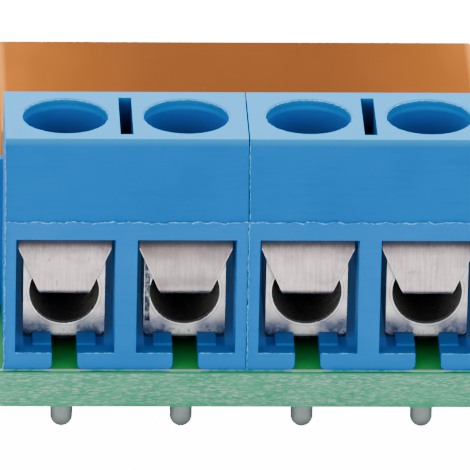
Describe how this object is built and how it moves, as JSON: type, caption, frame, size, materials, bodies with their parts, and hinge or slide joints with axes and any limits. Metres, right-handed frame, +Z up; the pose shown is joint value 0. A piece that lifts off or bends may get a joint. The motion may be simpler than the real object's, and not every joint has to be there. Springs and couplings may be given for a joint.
{
  "type": "relay module board",
  "caption": "Small green circuit board with interlocked blue screw terminal blocks at its front edge and a low orange relay behind them.",
  "frame": {"origin": "centre of the four mounting holes, on the board's underside", "axes": "+Z up out of the component side, +X along the row of terminals, wires enter from -Y"},
  "size_m": [0.033, 0.03, 0.0143],
  "materials": {
    "board": "green solder mask, glass-fibre edge",
    "solder": "soft solder",
    "terminal_blue": "satin moulding",
    "cage_metal": "bright nickel plate",
    "guard_steel": "vertical brushed streaks",
    "screw_steel": "zinc plated",
    "relay_orange": "satin moulding",
    "relay_moulding": "plain moulding",
    "copper": "enamelled copper wire",
    "soft_iron": "nickel plated iron",
    "contact_metal": "silver alloy",
    "spring_bronze": "tinned copper alloy",
    "tinned": "tinned",
    "header_black": "black moulding",
    "gilt_pin": "flash gilt",
    "chip_black": "glazed ceramic",
    "lens_red": "tinted clear epoxy",
    "lens_green": "tinted clear epoxy"
  },
  "bodies": {
    "board": {"pcb_board": "board", "solder_joints": "solder", "terminal_housing_left": "terminal_blue", "terminal_housing_right": "terminal_blue", "clamp_cage_1": "cage_metal", "clamp_cage_2": "cage_metal", "clamp_cage_3": "cage_metal", "clamp_cage_4": "cage_metal", "relay_cover": "relay_orange", "relay_base": "relay_moulding", "coil_bobbin": "relay_moulding", "coil_winding": "copper", "coil_core": "soft_iron", "relay_yoke": "soft_iron", "fixed_contacts": "contact_metal", "common_terminal_1": "spring_bronze", "common_terminal_2": "spring_bronze", "make_terminal_1": "spring_bronze", "make_terminal_2": "spring_bronze", "break_terminal_1": "spring_bronze", "break_terminal_2": "spring_bronze", "coil_pin_1": "tinned", "coil_pin_2": "tinned", "header_strip": "header_black", "header_pin_1": "gilt_pin", "header_pin_2": "gilt_pin", "header_pin_3": "gilt_pin", "optocoupler_body": "header_black", "optocoupler_leads": "tinned", "diode_body": "header_black", "diode_leads": "tinned", "transistor_body": "header_black", "transistor_leads": "tinned", "resistor_1": "chip_black", "resistor_2": "chip_black", "resistor_3": "chip_black", "lamp_lens_1": "lens_red", "lamp_leads_1": "tinned", "lamp_lens_2": "lens_green", "lamp_leads_2": "tinned"},
    "guard_1": {"wire_guard_1": "guard_steel"},
    "screw_1": {"clamp_screw_1": "screw_steel"},
    "guard_2": {"wire_guard_2": "guard_steel"},
    "screw_2": {"clamp_screw_2": "screw_steel"},
    "guard_3": {"wire_guard_3": "guard_steel"},
    "screw_3": {"clamp_screw_3": "screw_steel"},
    "guard_4": {"wire_guard_4": "guard_steel"},
    "screw_4": {"clamp_screw_4": "screw_steel"},
    "armature": {"relay_armature": "soft_iron"},
    "card": {"actuator_card": "relay_moulding"},
    "pole_1": {"pole_spring_1": "spring_bronze", "moving_contact_1": "contact_metal"},
    "pole_2": {"pole_spring_2": "spring_bronze", "moving_contact_2": "contact_metal"}
  },
  "joints": [
    {"name": "clamp_slide_1", "type": "slide", "parent": "board", "child": "guard_1", "axis": [0, 0, 1], "range_m": [-0.001, 0.0003]},
    {"name": "screw_turn_1", "type": "hinge", "parent": "guard_1", "child": "screw_1", "pos_m": [-0.00765, -0.011, 0.008], "axis": [0, 0, 1], "range_deg": [-800.5, 240.5]},
    {"name": "clamp_slide_2", "type": "slide", "parent": "board", "child": "guard_2", "axis": [0, 0, 1], "range_m": [-0.001, 0.0003]},
    {"name": "screw_turn_2", "type": "hinge", "parent": "guard_2", "child": "screw_2", "pos_m": [-0.00257, -0.011, 0.008], "axis": [0, 0, 1], "range_deg": [-800.5, 240.5]},
    {"name": "clamp_slide_3", "type": "slide", "parent": "board", "child": "guard_3", "axis": [0, 0, 1], "range_m": [-0.001, 0.0003]},
    {"name": "screw_turn_3", "type": "hinge", "parent": "guard_3", "child": "screw_3", "pos_m": [0.00257, -0.011, 0.008], "axis": [0, 0, 1], "range_deg": [-800.5, 240.5]},
    {"name": "clamp_slide_4", "type": "slide", "parent": "board", "child": "guard_4", "axis": [0, 0, 1], "range_m": [-0.001, 0.0003]},
    {"name": "screw_turn_4", "type": "hinge", "parent": "guard_4", "child": "screw_4", "pos_m": [0.00765, -0.011, 0.008], "axis": [0, 0, 1], "range_deg": [-800.5, 240.5]},
    {"name": "card_slide", "type": "slide", "parent": "board", "child": "card", "axis": [1, 0, 0], "range_m": [-0.000338, 0]},
    {"name": "armature_tilt", "type": "hinge", "parent": "board", "child": "armature", "pos_m": [0.00235, -0.00215, 0.003], "axis": [0, 1, 0], "range_deg": [-4, 0], "stiffness_Nm_per_rad": 0.002, "springref_deg": 5.73},
    {"name": "pole_flex_1", "type": "hinge", "parent": "board", "child": "pole_1", "pos_m": [0.00617, -0.00596, 0.0029], "axis": [0, 1, 0], "range_deg": [-4, 0]},
    {"name": "pole_flex_2", "type": "hinge", "parent": "board", "child": "pole_2", "pos_m": [0.00617, 0.00166, 0.0029], "axis": [0, 1, 0], "range_deg": [-4, 0]}
  ],
  "couplings": [
    {"joint": "screw_turn_1", "follows": "clamp_slide_1", "rad_per_m": 13963},
    {"joint": "screw_turn_2", "follows": "clamp_slide_2", "rad_per_m": 13963},
    {"joint": "screw_turn_3", "follows": "clamp_slide_3", "rad_per_m": 13963},
    {"joint": "screw_turn_4", "follows": "clamp_slide_4", "rad_per_m": 13963},
    {"joint": "armature_tilt", "follows": "card_slide", "rad_per_m": 206.19},
    {"joint": "pole_flex_1", "follows": "card_slide", "rad_per_m": 202.02},
    {"joint": "pole_flex_2", "follows": "card_slide", "rad_per_m": 202.02}
  ]
}
